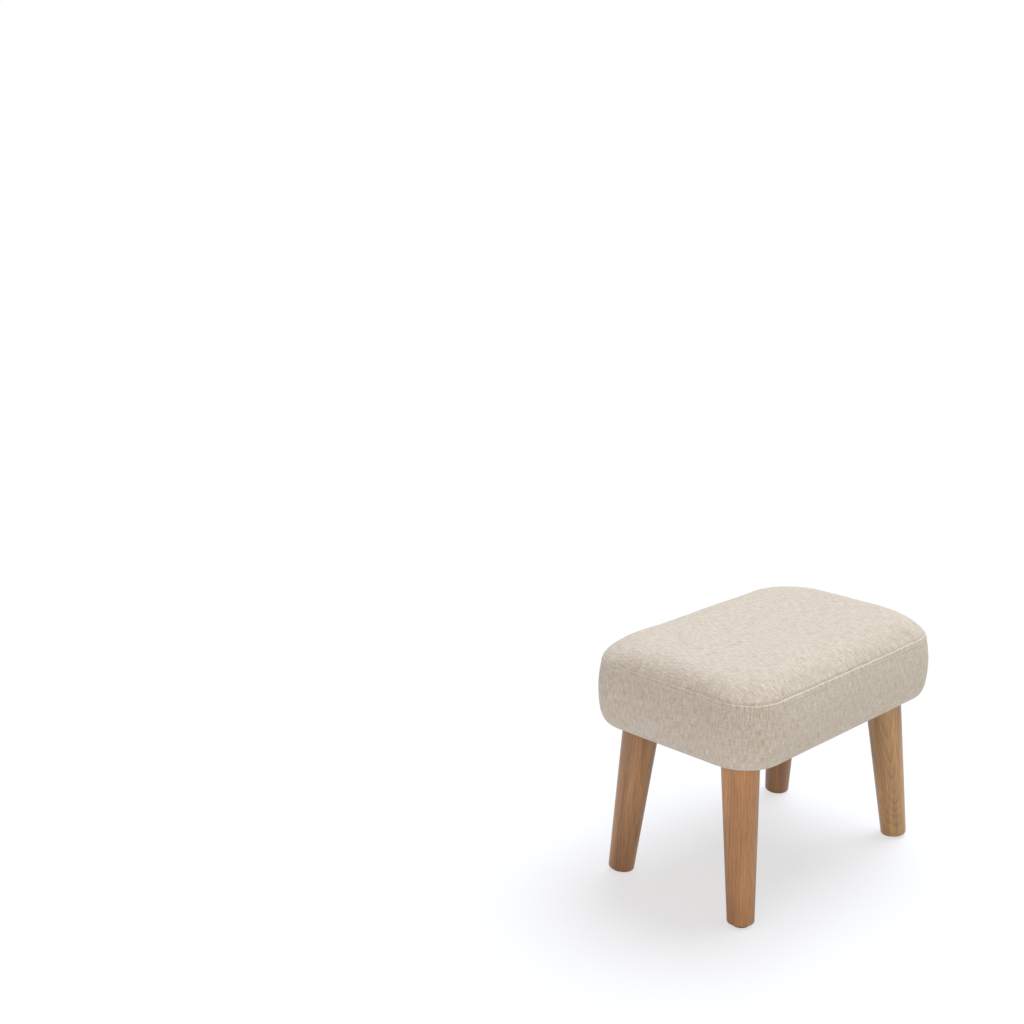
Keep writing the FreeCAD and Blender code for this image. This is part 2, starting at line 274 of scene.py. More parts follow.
def seat_section():
    """Section of the seat from the flat of the crown, over the shoulder to the seam, down the band,
    round the lower roll, in under the board, and up into the hollow that holds the board.

    The crown's height is 1 - (1 - s) to the power of its fullness, where s is the share of the way in,
    and its corners grow rounder by the inset times (1 - s) cubed. The band draws in by the square of the
    share of the way up from the roll to the seam. The roll is a quarter ellipse. Returns the inset,
    corner radius and height of each row, and the rows of the seam and of the roll's lower end.
    """
    samples = 400
    share = np.linspace(0.5, 0, samples)
    reach = seat_depth / 2 - seam_inset
    seam_radius = corner_radius - side_corner_easing * seam_inset
    grown = seam_radius + crown_corner_growth * reach * share * (1 - share) ** 3
    largest = largest_corner_share * reach * (1 - share)
    crown = evenly(
        crown_rows, seam_inset + reach * share, np.minimum(grown, largest),
        seam_height + crown_height * (1 - (1 - share) ** crown_fullness), crown_rows_closing)
    share = np.linspace(1, 0, samples // 2)
    inset = seam_inset * share ** 2
    band = evenly(
        band_rows, inset, corner_radius - side_corner_easing * inset,
        roll_top + (seam_height - roll_top) * share)
    angle = np.radians(np.linspace(90, 0, samples))
    inset = roll_inset * (1 - np.sin(angle))
    roll = evenly(
        roll_rows, inset, corner_radius - side_corner_easing * inset,
        cloth_bottom + (roll_top - cloth_bottom) * (1 - np.cos(angle)))

    def inside(count, start, end, start_height, end_height):
        inset = np.linspace(start, end, count + 1)
        return [
            roll_inset + inset, corner_radius - side_corner_easing * roll_inset - inset,
            np.linspace(start_height, end_height, count + 1)]

    under = inside(under_rows, 0, turned_under, cloth_bottom, cloth_bottom)
    edge = inside(wall_rows, turned_under, turned_under, cloth_bottom, board_bottom)
    outward = inside(under_rows, turned_under, board_clearance, board_bottom, board_bottom)
    wall = inside(wall_rows, board_clearance, board_clearance, board_bottom, board_top)
    parts = [crown, band, roll, under, edge, outward, wall]
    rows = [np.concatenate([part[k][(n > 0):] for n, part in enumerate(parts)]) for k in range(3)]
    return (*rows, crown_rows, crown_rows + band_rows + roll_rows)


def edge_sizes(ring_size):
    """Numbers of columns along a long side and along a short side of the grid inside a loop."""
    along = ring_size * half_long_columns * 2 // columns
    return along, ring_size // 2 - along


def edge_rows(ring):
    """The loop's points as the front, back, left and right edges of the grid inside it."""
    along, across = edge_sizes(len(ring))
    i, j = np.arange(along + 1), np.arange(across + 1)
    back_left = along // 2
    front_left = back_left + across
    return (
        ring[front_left + i], ring[(back_left - i) % len(ring)],
        ring[front_left - j], ring[front_left + along + j])


def grid_inside(ring):
    """Grid that fills a loop: opposite edges are blended both ways and the blend of the four corner
    points is taken off, so that every point of the loop is met."""
    front, rear, left, right_edge = edge_rows(ring)
    u = (np.arange(len(front)) / (len(front) - 1))[:, None, None]
    v = (np.arange(len(left)) / (len(left) - 1))[None, :, None]
    return (
        (1 - v) * front[:, None] + v * rear[:, None] + (1 - u) * left[None] + u * right_edge[None]
        - (1 - u) * (1 - v) * front[0] - u * (1 - v) * front[-1] - (1 - u) * v * rear[0] - u * v * rear[-1])


def numbered(row_count, column_count):
    """Vertex numbers of a grid of points, row by row."""
    return np.arange(row_count * column_count).reshape(row_count, column_count)


def quads(numbers, closed=False):
    """Four-cornered faces between neighbouring rows and columns of vertex numbers."""
    here = numbers if closed else numbers[:, :-1]
    after = np.roll(numbers, -1, axis=1) if closed else numbers[:, 1:]
    return np.stack([here[:-1], here[1:], after[1:], after[:-1]], axis=-1).reshape(-1, 4)


def filled_grid_faces(ring_size, first_inner):
    """Faces of the grid inside a loop whose vertices are numbered from 0, the others from first_inner."""
    along, across = edge_sizes(ring_size)
    numbers = np.zeros((along + 1, across + 1), int)
    numbers[1:-1, 1:-1] = first_inner + numbered(along - 1, across - 1)
    numbers[:, 0], numbers[:, -1], numbers[0], numbers[-1] = edge_rows(np.arange(ring_size))
    return quads(numbers)


def seat_faces(row_count, ring_size):
    """Faces of the closed seat: the rings, the grid on the crown, and one flat face on the board."""
    rings = numbered(row_count, ring_size)
    crown = filled_grid_faces(ring_size, rings.size)
    return quads(rings, True).tolist() + crown.tolist() + [rings[-1][::-1].tolist()]


def swollen(points, faces, held):
    """Points after the closed cloth has swelled for some frames under pressure, with some held."""
    cloth = bpy.data.objects.new("swelling", new_mesh("swelling", points, faces))
    bpy.context.collection.objects.link(cloth)
    group = cloth.vertex_groups.new(name="held")
    group.add(np.flatnonzero(held).tolist(), 1.0, "REPLACE")
    settings = cloth.modifiers.new("cloth", "CLOTH").settings
    settings.vertex_group_mass = "held"
    settings.use_pressure = True
    settings.uniform_pressure_force = 4
    settings.effector_weights.gravity = 0
    settings.quality = 5
    settings.mass = 0.3
    settings.tension_stiffness = 30
    settings.compression_stiffness = 30
    settings.bending_stiffness = 15.0
    settings.shrink_min = -0.003
    for frame_number in range(1, swelling_frames + 1):
        bpy.context.scene.frame_set(frame_number)
    posed = cloth.evaluated_get(bpy.context.evaluated_depsgraph_get())
    moved = np.empty(3 * len(points))
    posed.data.vertices.foreach_get("co", moved)
    bpy.data.objects.remove(cloth)
    bpy.context.scene.frame_set(1)
    return moved.reshape(-1, 3)


def twice_as_fine(coarse, closed=False):
    """Rows and columns of values with their means put between them."""
    rows = np.zeros((2 * coarse.shape[0] - 1, coarse.shape[1]))
    rows[::2] = coarse
    rows[1::2] = (coarse[1:] + coarse[:-1]) / 2
    before = rows if closed else rows[:, :-1]
    after = np.roll(rows, -1, axis=1) if closed else rows[:, 1:]
    fine = np.zeros((rows.shape[0], rows.shape[1] + before.shape[1]))
    fine[:, ::2] = rows
    fine[:, 1::2] = (before + after) / 2
    return fine


def softened(rows, most):
    """Rows of values round a loop without the waves that go round it many more times than the most."""
    waves = np.arange(rows.shape[1] // 2 + 1)
    return np.fft.irfft(np.fft.rfft(rows) * np.exp(-(waves / most) ** 2), rows.shape[1])


def outward_directions(rows):
    """Unit normals of closed rows of points, across the directions down the rows and along them."""
    down = np.gradient(rows, axis=0)
    along = np.roll(rows, -1, axis=1) - np.roll(rows, 1, axis=1)
    normal = np.cross(down, along)
    return normal / np.linalg.norm(normal, axis=-1, keepdims=True)


def run_along(points, axis):
    """Length run through along an axis of an array of points."""
    steps = np.linalg.norm(np.diff(points, axis=axis), axis=-1)
    return np.insert(np.cumsum(steps, axis=axis), 0, 0, axis=axis)


def ripple(share, fewest, most, count, seed):
    """Smooth random wave round a closed loop, of unit size: a sum of cosines, each with a whole number of
    waves."""
    dice = np.random.default_rng(seed)
    waves = dice.integers(fewest, most, count)[:, None]
    phases = dice.uniform(0, 2 * np.pi, count)[:, None]
    sizes = dice.uniform(0.5, 1, count)[:, None]
    total = (sizes * np.cos(2 * np.pi * waves * share[None] + phases)).sum(axis=0)
    return total / np.sqrt((sizes ** 2).sum() / 2)


inset, radius, height, seam_row, roll_end_row = seat_section()
rings = np.concatenate(
    [seat_outlines(inset, radius), np.repeat(height[:, None], columns, axis=1)[..., None]], axis=-1)
crown = grid_inside(rings[0])
ring_outward = outward_directions(rings)
down = run_along(rings, 0)
below_seam = down - down[seam_row]
share_round = np.arange(columns) / columns

# The section above already has the mean shape of the stuffed cushion, so each row keeps its mean place
# and takes only its own uneven swelling. The flat of the crown may also rise in its middle.
largest_swell = 0.0005
swelling_frames = 20
swelling_waves = 16
crown_passes = 12
coarse_rings, coarse_crown = rings[::2, ::2], crown[::2, ::2]
row_count, ring_size = coarse_rings.shape[:2]
start = np.concatenate([coarse_rings.reshape(-1, 3), coarse_crown[1:-1, 1:-1].reshape(-1, 3)])
held = np.zeros(len(start), bool)
held[seam_row // 2 * ring_size:(seam_row // 2 + 1) * ring_size] = True
held[roll_end_row // 2 * ring_size:row_count * ring_size] = True
move = swollen(start, seat_faces(row_count, ring_size), held) - start
ring_move = move[:row_count * ring_size].reshape(row_count, ring_size, 3)
ring_move = (ring_move * ring_outward[::2, ::2]).sum(axis=-1)
level = ring_move[0].mean()
crown_move = grid_inside(ring_move[0][:, None])[..., 0]
crown_move[1:-1, 1:-1] = move[row_count * ring_size:, 2].reshape(crown_move[1:-1, 1:-1].shape)
ring_move -= ring_move.mean(axis=1, keepdims=True)
crown_move -= level
edge_move = ring_move[0].copy()
ring_move = largest_swell * np.tanh(softened(ring_move, swelling_waves) / largest_swell)
crown_move += grid_inside((ring_move[0] - edge_move)[:, None])[..., 0]
for _ in range(crown_passes):
    either_side = crown_move[:-2, 1:-1] + crown_move[2:, 1:-1]
    crown_move[1:-1, 1:-1] = (either_side + crown_move[1:-1, :-2] + crown_move[1:-1, 2:]) / 4
crown_move = np.clip(crown_move, -largest_swell, largest_swell)
rings = rings + twice_as_fine(ring_move, True)[..., None] * ring_outward
crown[..., 2] += twice_as_fine(crown_move)

# The stitched seam isn't quite level: it dips round the front left corner and climbs along that end.
wander_waves = 20
wander_reach = 0.020
seam_wander = np.interp(
    share_round, (0, 0.12, 0.19, 0.26, 0.31, 0.35, 0.39, 0.43, 0.50, 0.60, 0.75, 0.90, 1),
    (0, 0.0014, 0.0022, 0.0020, 0.0008, -0.0014, -0.0006, -0.0008, -0.0005, 0, 0.0006, 0.0003, 0))
rings[..., 2] += softened(seam_wander[None], wander_waves) * np.exp(-(below_seam / wander_reach) ** 2)

# Puckers where the stitches gather the cloth, deepest a few millimetres from the seam and weaker below
# it, and slower swells away from it
fine_pucker = 0.00028
wide_pucker = 0.00030
pucker_reach = 0.004
pucker_below = 0.7
slow_swell = 0.00018
slow_reach = 0.02
roll_fade = 0.03
near_seam = np.abs(below_seam)
pucker = ripple(share_round, 60, 150, 14, 3) * fine_pucker
pucker = pucker + ripple(share_round, 18, 50, 8, 4) * wide_pucker
pucker_fade = np.where(below_seam > 0, pucker_below, 1.0)
pucker_fade = pucker_fade * near_seam / pucker_reach * np.exp(1 - near_seam / pucker_reach)
slow = ripple(share_round, 2, 9, 6, 5) * slow_swell * np.clip(near_seam / slow_reach, 0, 1)
above_roll_end = np.clip((down[roll_end_row] - down) / roll_fade, 0, 1)

# A crease just above the seam, deep on some stretches and faint on others
crease_depth = 0.0013
crease_place = 0.0013
crease_width = 0.0010
relief_places = (0, 0.07, 0.12, 0.31, 0.345, 0.52, 0.61, 0.70, 0.80, 1)
relief_shares = (1, 1, 0.30, 0.35, 1, 1, 0.45, 0.30, 0.8, 1)
seam_relief = np.interp(share_round, relief_places, relief_shares)
crease = crease_depth * seam_relief * np.exp(-((near_seam - crease_place) / crease_width) ** 2)
crease = np.where(below_seam < 0, crease, 0)
edge_before = rings[0].copy()
rings += ((pucker * pucker_fade + slow) * above_roll_end - crease)[..., None] * ring_outward
crown += grid_inside(rings[0] - edge_before)


def cloth_mesh(name, points, faces, weave):
    """Smooth mesh with a UV map in metres along the cloth's yarns, one pair for each face corner."""
    mesh = new_mesh(name, points, faces)
    layer = mesh.uv_layers.new(name="weave")
    layer.data.foreach_set("uv", np.asarray(weave, float).ravel())
    mesh.update()
    return mesh


def corner_values(grid):
    """Values of a grid of points at the four corners of each of its faces, in the faces' order."""
    corners = [grid[:-1, :-1], grid[1:, :-1], grid[1:, 1:], grid[:-1, 1:]]
    return np.stack(corners, axis=2).reshape(-1, grid.shape[-1])


def round_again(grid):
    """Closed rows with their first column put after their last one."""
    return np.concatenate([grid, grid[:, :1]], axis=1)


# Yarns: on the crown the cloth lies along X and Y and is laid out straight down the shoulder. On the band
# the warp runs upright and the weft round the seat, from the join at the middle of the back.
down = run_along(rings, 0)
outward = rings[1, :, :2] - rings[0, :, :2]
outward /= np.linalg.norm(outward, axis=1, keepdims=True)
crown_weave = round_again(rings[:1, :, :2] + outward[None] * down[..., None])
widest = np.argmin(inset)
round_seat = run_along(round_again(rings)[widest], 0)
band_weave = np.stack(np.broadcast_arrays(round_seat, -round_again(down)), axis=-1)
weave = np.concatenate([
    corner_values(crown_weave[:seam_row + 1]), corner_values(band_weave[seam_row:]),
    corner_values(crown[..., :2]), np.zeros((columns, 2)),
])


def new_group(name, inputs):
    """Node group with the inputs given by name and kind, which puts out a tone and a height, and its
    two end nodes."""
    group = bpy.data.node_groups.new(name, "ShaderNodeTree")
    for socket, kind in inputs.items():
        group.interface.new_socket(socket, in_out="INPUT", socket_type="NodeSocket" + kind)
    for socket in ("Tone", "Height"):
        group.interface.new_socket(socket, in_out="OUTPUT", socket_type="NodeSocketFloat")
    return group, group.nodes.new("NodeGroupInput"), group.nodes.new("NodeGroupOutput")


def reckon_vector(tree, operation, *values):
    """Output of a vector maths node on sockets or triples."""
    return add_node(tree, "ShaderNodeVectorMath", enumerate(values), operation=operation).outputs[0]


def noise(tree, place, stretch, detail, roughness=0.5, **settings):
    """Noise from 0 to 1 on a place, stretched by three numbers."""
    made = add_node(tree, "ShaderNodeTexNoise", {
        "Vector": reckon_vector(tree, "MULTIPLY", place, stretch), "Scale": 1.0, "Detail": detail,
        "Roughness": roughness}, **settings)
    return made.outputs["Fac"]


def weighed(tree, total, value, weight):
    """Total with a weight times a value's distance from a half added to it."""
    return reckon(tree, "MULTIPLY_ADD", value, weight, reckon(tree, "ADD", total, -weight / 2))


def shared(tree, value, share, other):
    """Mean of a value and another one, with the first one's share given."""
    return reckon(tree, "MULTIPLY_ADD", value, share, reckon(tree, "MULTIPLY", other, 1 - share))


def ranged(tree, value, low, high, at_low=0.0, at_high=1.0):
    """Number that runs evenly from one to another while a value goes from low to high."""
    inputs = {0: value, 1: low, 2: high, 3: at_low, 4: at_high}
    return add_node(tree, "ShaderNodeMapRange", inputs).outputs[0]


def coloured(tree, tone, dark, light, low=0.0, high=1.0):
    """Colour between a dark and a light one, by a tone's place between low and high."""
    made = add_node(tree, "ShaderNodeValToRGB", {0: tone})
    for element, place, colour in zip(made.color_ramp.elements, (low, high), (dark, light)):
        element.position = place
        element.color = (*colour, 1)
    return made.outputs[0]


def bumped(tree, height, strength, distance):
    """Normal of a surface that a height raises."""
    return add_node(tree, "ShaderNodeBump", {
        "Height": height, "Strength": strength, "Distance": distance}).outputs[0]


def woven_yarns():
    """Plain weave on a vector in metres. A warp yarn lies over the weft in every other cell. Each yarn
    has its own tone, which changes slowly along it as a slub yarn does, and wide soft slubs and a cloudy
    heather lie over that. Puts out a tone from 0 to 1 and a height."""
    yarn_weight, slub_weight, cross_weight, cloud_weight = 1.2, 1.70, 0.35, 0.1
    slub_stretch, cross_stretch, cloud_stretch = (1.60, 0.09, 0), (0.11, 1.05, 0), (0.12, 0.12, 0)
    along_yarn, next_yarn, roundness = 0.085, 7.31, 0.6
    group, start, end = new_group("woven_yarns", {"Vector": "Vector", "Yarns per Metre": "Float"})
    place, pitches = start.outputs["Vector"], start.outputs["Yarns per Metre"]
    scaled = add_node(
        group, "ShaderNodeVectorMath", {0: place, "Scale": pitches}, operation="SCALE").outputs[0]
    waver = add_node(group, "ShaderNodeTexNoise", {"Vector": scaled, "Scale": 0.09, "Detail": 2.0},
                     noise_dimensions="2D")
    shifted = reckon_vector(group, "MULTIPLY_ADD", waver.outputs["Color"], (1.6, 1.6, 0), scaled)
    cell = add_node(group, "ShaderNodeSeparateXYZ", {0: shifted})
    across, along = cell.outputs["X"], cell.outputs["Y"]
    warp, weft = reckon(group, "FLOOR", across), reckon(group, "FLOOR", along)
    over = reckon(group, "FLOORED_MODULO", reckon(group, "ADD", warp, weft), 2)

    def arch(value):
        return reckon(group, "SINE", reckon(group, "MULTIPLY", reckon(group, "FRACT", value), math.pi))

    def yarn_tone(number, length, seed):
        where = add_node(group, "ShaderNodeCombineXYZ", {
            "X": reckon(group, "MULTIPLY_ADD", number, next_yarn, seed),
            "Y": reckon(group, "MULTIPLY", length, along_yarn)})
        return noise(group, where.outputs[0], (1, 1, 0), 2.0, 0.6, noise_dimensions="2D")

    def pick(when_weft, when_warp):
        mixed = add_node(group, "ShaderNodeMix", {0: over, 2: when_weft, 3: when_warp}, data_type="FLOAT")
        return mixed.outputs[0]

    yarn = pick(yarn_tone(weft, across, 91.3), yarn_tone(warp, along, 3.7))
    total = weighed(group, 0.5, yarn, yarn_weight)
    for stretch, roughness, weight in (
        (slub_stretch, 0.55, slub_weight), (cross_stretch, 0.55, cross_weight),
        (cloud_stretch, 0.5, cloud_weight),
    ):
        slubs = noise(group, scaled, stretch, 3.0, roughness, noise_dimensions="2D")
        total = weighed(group, total, slubs, weight)
    in_warp, in_weft = arch(across), arch(along)
    round_warp = reckon(group, "MULTIPLY", reckon(group, "POWER", in_warp, roundness), in_weft)
    round_weft = reckon(group, "MULTIPLY", reckon(group, "POWER", in_weft, roundness), in_warp)
    set_inputs(group, end, {"Tone": total, "Height": pick(round_weft, round_warp)})
    return group


yarn_group = woven_yarns()


def cloth_material(name, dark, light, pitch, relief, painted_highlight_edge=None):
    """Dull heathered cloth: yarn tones between a dark and a light colour, on a weave of the given pitch
    and relief in metres. Above the UV height given for it, a folded edge is painted paler: a painted
    highlight where the fold's rolled edge catches the light, and partly the fold's own paler stretched
    yarn."""
    painted_highlight_lift, edge_softness = 0.22, 0.0008
    material, tree, shader = new_material(name)
    where = add_node(tree, "ShaderNodeUVMap", uv_map="weave").outputs[0]
    yarns = add_node(
        tree, "ShaderNodeGroup", {"Vector": where, "Yarns per Metre": 1 / pitch}, node_tree=yarn_group)
    tone = yarns.outputs["Tone"]
    # Painted highlight: the tone is lifted above that UV height, where the fold's rolled edge catches the
    # light from above.
    if painted_highlight_edge is not None:
        height = add_node(tree, "ShaderNodeSeparateXYZ", {0: where}).outputs["Y"]
        tone = reckon(tree, "ADD", tone, ranged(
            tree, height, painted_highlight_edge - edge_softness, painted_highlight_edge, 0.0, painted_highlight_lift))
    set_inputs(tree, shader, {
        "Base Color": coloured(tree, tone, dark, light), "Roughness": 0.92, "Specular IOR Level": 0.25,
        "Sheen Weight": 0.12, "Sheen Roughness": 0.5,
        "Normal": bumped(tree, yarns.outputs["Height"], 0.55, relief)})
    return material


cloth_dark = (0.530, 0.418, 0.292)
cloth_light = (0.905, 0.822, 0.730)
yarn_pitch = 0.00105
yarn_relief = 0.00030
seat_cloth = cloth_material("heathered_cloth", cloth_dark, cloth_light, yarn_pitch, yarn_relief)

seat_points = np.concatenate([rings.reshape(-1, 3), crown[1:-1, 1:-1].reshape(-1, 3)])
seat_mesh = cloth_mesh("seat_cushion", seat_points, seat_faces(len(rings), columns), weave)
cushion = new_object("seat_cushion", seat_mesh, seat_cloth)
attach(cushion, "root")
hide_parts("cover_top_panel", "cover_side_band", "wadding_wrap", "seat_foam")


# Felled seam
# The joined edges of the panel and the band are turned down over the band and stitched through, which
# makes a flat raised strip with a rolled upper edge. It pinches in at each stitch.
stitch_pitch = 0.0034
stitch_drop = 0.0046
stations_per_stitch = 4
pinch_depth = 0.00028
pinch_reach = 0.0009
strip_girth = 0.019
thinnest_share = 0.22
relief_growth = 0.63
strip_unevenness = 0.06
fold_highlight_edge = -0.0042

seam_line = round_again(rings[None, seam_row])[0]
seam_run = run_along(seam_line, 0)
stitch_count = int(round(seam_run[-1] / stitch_pitch))
station_count = stations_per_stitch * stitch_count
station_run = np.arange(station_count) * seam_run[-1] / station_count


def on_seam(run):
    """Points on the seam at a run along it, and the level direction that points out from it."""
    near = 0.004

    def seam_at(run):
        return np.stack([np.interp(run, seam_run, seam_line[:, k]) for k in range(3)], axis=-1)

    along = (seam_at((run + near) % seam_run[-1]) - seam_at((run - near) % seam_run[-1]))[:, :2]
    along /= np.linalg.norm(along, axis=-1, keepdims=True)
    return seam_at(run), np.stack([along[:, 1], -along[:, 0], np.zeros(len(run))], axis=-1)


def band_offset(drop):
    """How far the band stands out beyond the seam line at a drop below it."""
    share = 1 - drop / (seam_height - roll_top)
    return seam_inset * (1 - share ** 2)


# Distance out from the band and height from the seam line, in millimetres, round the strip's section
strip_section = np.array([
    (-2.2, -1.0), (-1.2, 0.3), (-0.4, 0.75), (0.35, 0.85), (0.90, 0.55), (1.20, -0.10), (1.25, -1.0),
    (1.15, -2.0), (1.05, -3.0), (0.85, -3.9), (0.45, -4.6), (0.65, -5.3), (0.45, -6.2), (-0.1, -7.2),
    (-1.6, -7.6),
]) / 1000
section_out, section_rise = strip_section.T
strip_place, strip_outward = on_seam(station_run)
between_stitches = np.cos(2 * np.pi * station_run * stitch_count / seam_run[-1])
pinch = pinch_depth * np.exp(-((section_rise + stitch_drop) / pinch_reach) ** 2)
station_share = station_run / seam_run[-1]
thickness = thinnest_share + relief_growth * np.interp(station_share, relief_places, relief_shares)
thickness = (thickness + strip_unevenness * ripple(station_share, 30, 90, 9, 12))[:, None]
strip_out = np.minimum(section_out, 0) + thickness * np.maximum(section_out, 0)
strip_out += pinch * between_stitches[:, None] + band_offset(-np.minimum(section_rise, 0))
strip_rise = np.minimum(section_rise, 0) + thickness * np.maximum(section_rise, 0)
strip_points = (
    strip_place[:, None] + strip_out[..., None] * strip_outward[:, None]
    + strip_rise[..., None] * np.array([0, 0, 1]))
strip_numbers = numbered(*strip_points.shape[:2])
strip_numbers = np.concatenate([strip_numbers, strip_numbers[:1]])
strip_faces = quads(strip_numbers, True)[:, ::-1]
strip_height = -np.append(run_along(strip_section, 0), strip_girth)
strip_length = np.append(station_run, seam_run[-1])
strip_weave = np.stack(np.broadcast_arrays(strip_length[:, None], strip_height), axis=-1)
strip_corners = corner_values(strip_weave).reshape(-1, 4, 2)[:, ::-1]
# The strip's rolled upper edge is painted paler: mostly a painted highlight where it catches the light from
# above, partly the paler stretched yarn of the fold.
seam_cloth = cloth_material(
    "heathered_cloth_fold_highlight", cloth_dark, cloth_light, yarn_pitch, yarn_relief, fold_highlight_edge)
strip_mesh = cloth_mesh("felled_seam", strip_points, strip_faces.tolist(), strip_corners)
felled_seam = new_object("felled_seam", strip_mesh, seam_cloth)
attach(felled_seam, "root")


# Topstitching
# A row of pale spun thread through the felled seam. Each stitch is a short plump thread that dives into
# the cloth at both ends.
stitch_length = 0.0025
stitch_radius = 0.00050
stitch_arch = 0.0005
stitch_stand = 0.00040
stitch_rows = 7
stitch_sides = 6


def stitches(run, drop, out):
    """Plump threads centred at each run along the seam: a radius that swells as a root of a cosine along
    the length, on a middle line that arches out and dives in at the ends."""
    place, outward = [values[:, None, None] for values in on_seam(run)]
    along = np.stack([-outward[..., 1], outward[..., 0], outward[..., 2]], axis=-1)
    t = np.linspace(-1, 1, stitch_rows)[None, :, None, None]
    turn = np.linspace(0, 2 * np.pi, stitch_sides, endpoint=False)[None, None, :, None]
    swell = stitch_radius * np.sqrt(np.maximum(np.cos(t * np.pi / 2), 0.04))
    middle = place + along * (t * stitch_length / 2) + outward * (out - stitch_arch * t ** 2)
    level = np.array([0, 0, 1])
    return middle - drop * level + swell * (outward * np.cos(turn) + level * np.sin(turn))


def stitch_faces(count):
    """Faces of that many stitches: their sides, and a flat cap on each end."""
    one = numbered(stitch_rows, stitch_sides)
    sides = quads(one, True)[:, ::-1]
    caps = np.stack([one[0], one[-1][::-1]])
    step = (np.arange(count) * one.size)[:, None, None]
    sides, caps = sides[None] + step, caps[None] + step
    return sides.reshape(-1, 4).tolist() + caps.reshape(-1, stitch_sides).tolist()


thread_material, tree, shader = new_material("spun_thread")
where = add_node(tree, "ShaderNodeTexCoord").outputs["Object"]
fibres = noise(tree, where, (2600, 2600, 2600), 2.0)
set_inputs(tree, shader, {
    "Base Color": coloured(tree, fibres, (0.78, 0.72, 0.64), (0.95, 0.92, 0.86)), "Roughness": 0.7,
    "Normal": bumped(tree, fibres, 0.5, 0.0001)})

stitch_run = (np.arange(stitch_count) + 0.5) * seam_run[-1] / stitch_count
stitch_points = stitches(stitch_run, stitch_drop, band_offset(stitch_drop) + stitch_stand)
stitch_mesh = new_mesh("topstitching", stitch_points, stitch_faces(stitch_count))
topstitching = new_object("topstitching", stitch_mesh, thread_material)
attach(topstitching, "root")


# Legs
# Turned and tapered hardwood, stained a warm mid brown and given a satin lacquer. Each is a node of the
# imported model. The grain runs along the leg, so its pattern is worked out on that leg's own axis.
leg_top_place = (0.165, 0.0845, 0.226)
foot_place = (0.1825, 0.106, 0.0)
corners = {"front_left": (-1, -1), "front_right": (1, -1), "back_left": (-1, 1), "back_right": (1, 1)}


def leg_ends(corner):
    """Points at the top and at the foot of the middle line of the leg in a corner."""
    signs = np.array([*corners[corner], 1])
    return signs * leg_top_place, signs * foot_place


def wood_grain():
    """Grain on a vector in metres whose Z runs along the trunk. Growth rings are even steps of distance
    from a pith line beside the leg, bent by slow noise, so they show as straight lines on one face and
    as arches on the next. Fibres and pores are noise stretched along Z. A figure is a round swirl round
    a point. Puts out a tone from 0 to 1 and a height."""
    rings_per_metre, ring_bend, figure_reach = 270.0, 0.016, 0.016
    late_wood, fibre_weight, broad_weight, pore_weight = -0.17, 0.80, 0.95, -0.22
    group, start, end = new_group("wood_grain", {
        "Vector": "Vector", "Pith": "Vector", "Figure": "Vector", "Figure Size": "Float", "Lean": "Float"})
    place = start.outputs["Vector"]

    def distance(point, shares):
        apart = reckon_vector(group, "SUBTRACT", place, start.outputs[point])
        apart = reckon_vector(group, "MULTIPLY", apart, shares)
        return add_node(group, "ShaderNodeVectorMath", {0: apart}, operation="LENGTH").outputs["Value"]

    slow = noise(group, place, (24, 24, 3.0), 2.0)
    bend = reckon(group, "MULTIPLY_ADD", slow, ring_bend, distance("Pith", (1, 1, 0)))
    height = add_node(group, "ShaderNodeSeparateXYZ", {0: place}).outputs["Z"]
    bend = reckon(group, "MULTIPLY_ADD", height, start.outputs["Lean"], bend)
    swirl = reckon(group, "DIVIDE", distance("Figure", (1, 1, 0.55)), figure_reach)
    swirl = reckon(group, "MULTIPLY", reckon(group, "MULTIPLY", swirl, swirl), -1.0)
    swirl = reckon(group, "EXPONENT", swirl)
    bend = reckon(group, "MULTIPLY_ADD", swirl, start.outputs["Figure Size"], bend)
    ring = reckon(group, "FRACT", reckon(group, "MULTIPLY", bend, rings_per_metre))
    late = reckon(group, "POWER", ring, 2.0)
    fibres = noise(group, place, (900, 900, 14), 3.0, 0.6)
    pores = ranged(group, noise(group, place, (1900, 1900, 45), 2.0), 0.56, 0.70)
    tone = reckon(group, "MULTIPLY_ADD", late, late_wood, 0.58)
    tone = weighed(group, tone, fibres, fibre_weight)
    tone = weighed(group, tone, noise(group, place, (75, 75, 4.5), 2.0), broad_weight)
    tone = reckon(group, "MULTIPLY_ADD", pores, pore_weight, tone)
    rise = reckon(group, "MULTIPLY_ADD", pores, -0.6, reckon(group, "MULTIPLY", fibres, 0.5))
    set_inputs(group, end, {"Tone": tone, "Height": rise})
    return group


grain_group = wood_grain()


